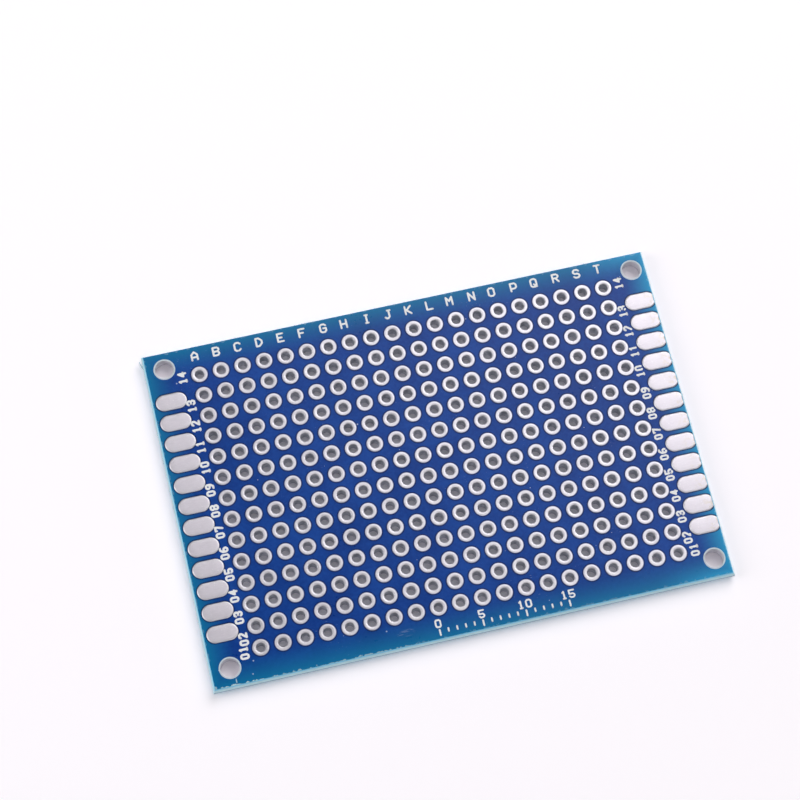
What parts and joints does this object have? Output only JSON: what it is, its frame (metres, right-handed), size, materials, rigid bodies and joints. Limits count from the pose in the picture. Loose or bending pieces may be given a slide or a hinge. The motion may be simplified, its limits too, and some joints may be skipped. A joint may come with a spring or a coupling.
{
  "type": "prototype board",
  "caption": "Small blue double-sided prototype board with a grid of plated lead holes, soldering pads along both short edges and a screw hole in each corner.",
  "frame": {"origin": "middle of the snapped outline, on the surface that the board lies on, which is the plane of the back pads' outer faces", "axes": "+X along the long edge, towards the last lettered column; +Y along the short edge, towards the last numbered row; +Z out of the lettered face"},
  "size_m": [0.0602, 0.0406, 0.0016],
  "materials": {
    "laminate": "woven glass and epoxy, pale and slightly rough where it is grooved, torn or drilled",
    "solder_mask": "thin glossy blue lacquer, teal towards the snapped edges",
    "tinned_copper": "satin tin over copper, slightly domed and faintly brushed",
    "legend_ink": "screen-printed white ink"
  },
  "bodies": {
    "root": {"substrate": "laminate", "front_solder_mask": "solder_mask", "back_solder_mask": "solder_mask", "plated_holes_a": "tinned_copper", "plated_holes_b": "tinned_copper", "plated_holes_c": "tinned_copper", "plated_holes_d": "tinned_copper", "plated_holes_e": "tinned_copper", "plated_holes_f": "tinned_copper", "plated_holes_g": "tinned_copper", "plated_holes_h": "tinned_copper", "plated_holes_i": "tinned_copper", "plated_holes_j": "tinned_copper", "plated_holes_k": "tinned_copper", "plated_holes_l": "tinned_copper", "plated_holes_m": "tinned_copper", "plated_holes_n": "tinned_copper", "plated_holes_o": "tinned_copper", "plated_holes_p": "tinned_copper", "plated_holes_q": "tinned_copper", "plated_holes_r": "tinned_copper", "plated_holes_s": "tinned_copper", "plated_holes_t": "tinned_copper", "front_left_edge_pads": "tinned_copper", "front_right_edge_pads": "tinned_copper", "back_left_edge_pads": "tinned_copper", "back_right_edge_pads": "tinned_copper"}
  },
  "joints": []
}
